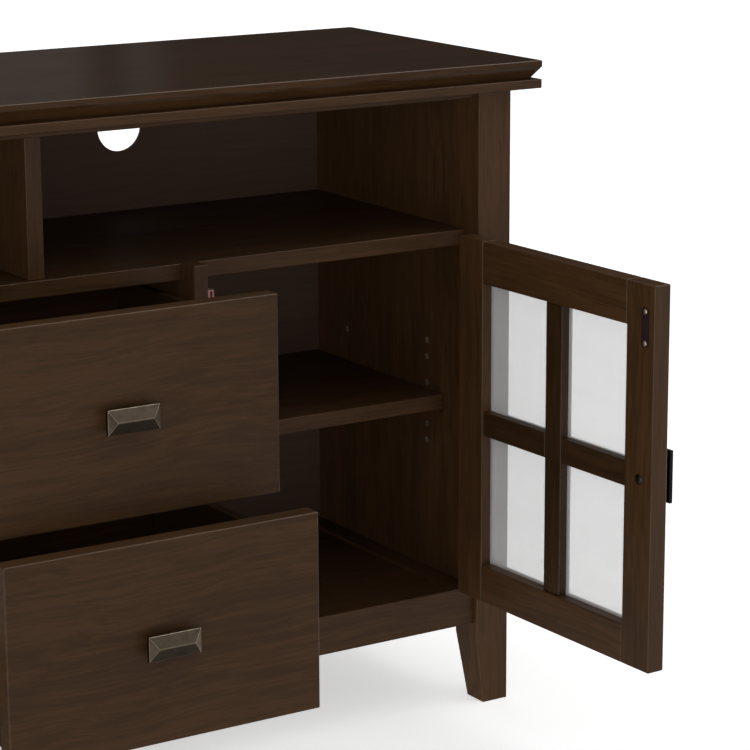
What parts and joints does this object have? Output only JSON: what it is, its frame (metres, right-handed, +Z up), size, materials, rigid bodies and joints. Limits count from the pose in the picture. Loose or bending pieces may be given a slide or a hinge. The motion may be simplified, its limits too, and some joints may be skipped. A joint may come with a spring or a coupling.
{
  "type": "tv stand",
  "caption": "Stained wood television stand with open bays over glazed doors and drawers, on tapered legs, shown with a door and drawers open.",
  "frame": {"origin": "on the floor, under the middle of the four posts", "axes": "+X to the right along the width as seen from the front, +Y to the back, +Z up"},
  "size_m": [1.367, 0.8252, 0.852],
  "materials": {
    "stained_wood": "satin dark walnut stain",
    "panel_wood": "smooth dark stain",
    "glass": "clear",
    "aged_metal": "aged bronze with worn edges",
    "dark_metal": "dark bronze",
    "catch_metal": "reddish satin",
    "steel": "zinc plated"
  },
  "bodies": {
    "cabinet": {"back_panel": "panel_wood", "bottom_panel": "stained_wood", "centre_divider": "stained_wood", "door_catches": "catch_metal", "drawer_runners": "steel", "front_bottom_rail": "stained_wood", "front_left_post": "stained_wood", "front_right_post": "stained_wood", "front_top_rail": "stained_wood", "hole_sleeves": "steel", "left_lower_rail": "stained_wood", "left_partition": "stained_wood", "left_shelf": "stained_wood", "left_side_panel": "stained_wood", "mid_shelf": "stained_wood", "post_hinge_leaves": "steel", "rear_bottom_rail": "stained_wood", "rear_left_post": "stained_wood", "rear_right_post": "stained_wood", "right_lower_rail": "stained_wood", "right_partition": "stained_wood", "right_shelf": "stained_wood", "right_side_panel": "stained_wood", "shelf_supports": "steel", "sub_top_board": "stained_wood", "top_board": "stained_wood"},
    "right_door": {"right_door_bottom_rail": "stained_wood", "right_door_hinge_leaves": "steel", "right_door_hinge_stile": "stained_wood", "right_door_knob": "aged_metal", "right_door_knob_bolt": "dark_metal", "right_door_latch_stile": "stained_wood", "right_door_muntins": "stained_wood", "right_door_panes": "glass", "right_door_strike_plate": "dark_metal", "right_door_top_rail": "stained_wood"},
    "left_door": {"left_door_bottom_rail": "stained_wood", "left_door_hinge_leaves": "steel", "left_door_hinge_stile": "stained_wood", "left_door_knob": "aged_metal", "left_door_knob_bolt": "dark_metal", "left_door_latch_stile": "stained_wood", "left_door_muntins": "stained_wood", "left_door_panes": "glass", "left_door_strike_plate": "dark_metal", "left_door_top_rail": "stained_wood"},
    "upper_drawer": {"upper_drawer_back": "stained_wood", "upper_drawer_bottom": "panel_wood", "upper_drawer_front": "stained_wood", "upper_drawer_knob": "aged_metal", "upper_drawer_left_side": "stained_wood", "upper_drawer_right_side": "stained_wood", "upper_drawer_slides": "steel"},
    "lower_drawer": {"lower_drawer_back": "stained_wood", "lower_drawer_bottom": "panel_wood", "lower_drawer_front": "stained_wood", "lower_drawer_knob": "aged_metal", "lower_drawer_left_side": "stained_wood", "lower_drawer_right_side": "stained_wood", "lower_drawer_slides": "steel"}
  },
  "joints": [
    {"name": "right_door_hinge", "type": "hinge", "parent": "cabinet", "child": "right_door", "pos_m": [0.6021, -0.2215, 0.4], "axis": [0, 0, 1], "range_deg": [-91.7, 13.3]},
    {"name": "left_door_hinge", "type": "hinge", "parent": "cabinet", "child": "left_door", "pos_m": [-0.6021, -0.2215, 0.4], "axis": [0, 0, -1], "range_deg": [0, 105]},
    {"name": "upper_drawer_slide", "type": "slide", "parent": "cabinet", "child": "upper_drawer", "axis": [0, -1, 0], "range_m": [-0.199, 0.091]},
    {"name": "lower_drawer_slide", "type": "slide", "parent": "cabinet", "child": "lower_drawer", "axis": [0, -1, 0], "range_m": [-0.284, 0.006]}
  ]
}
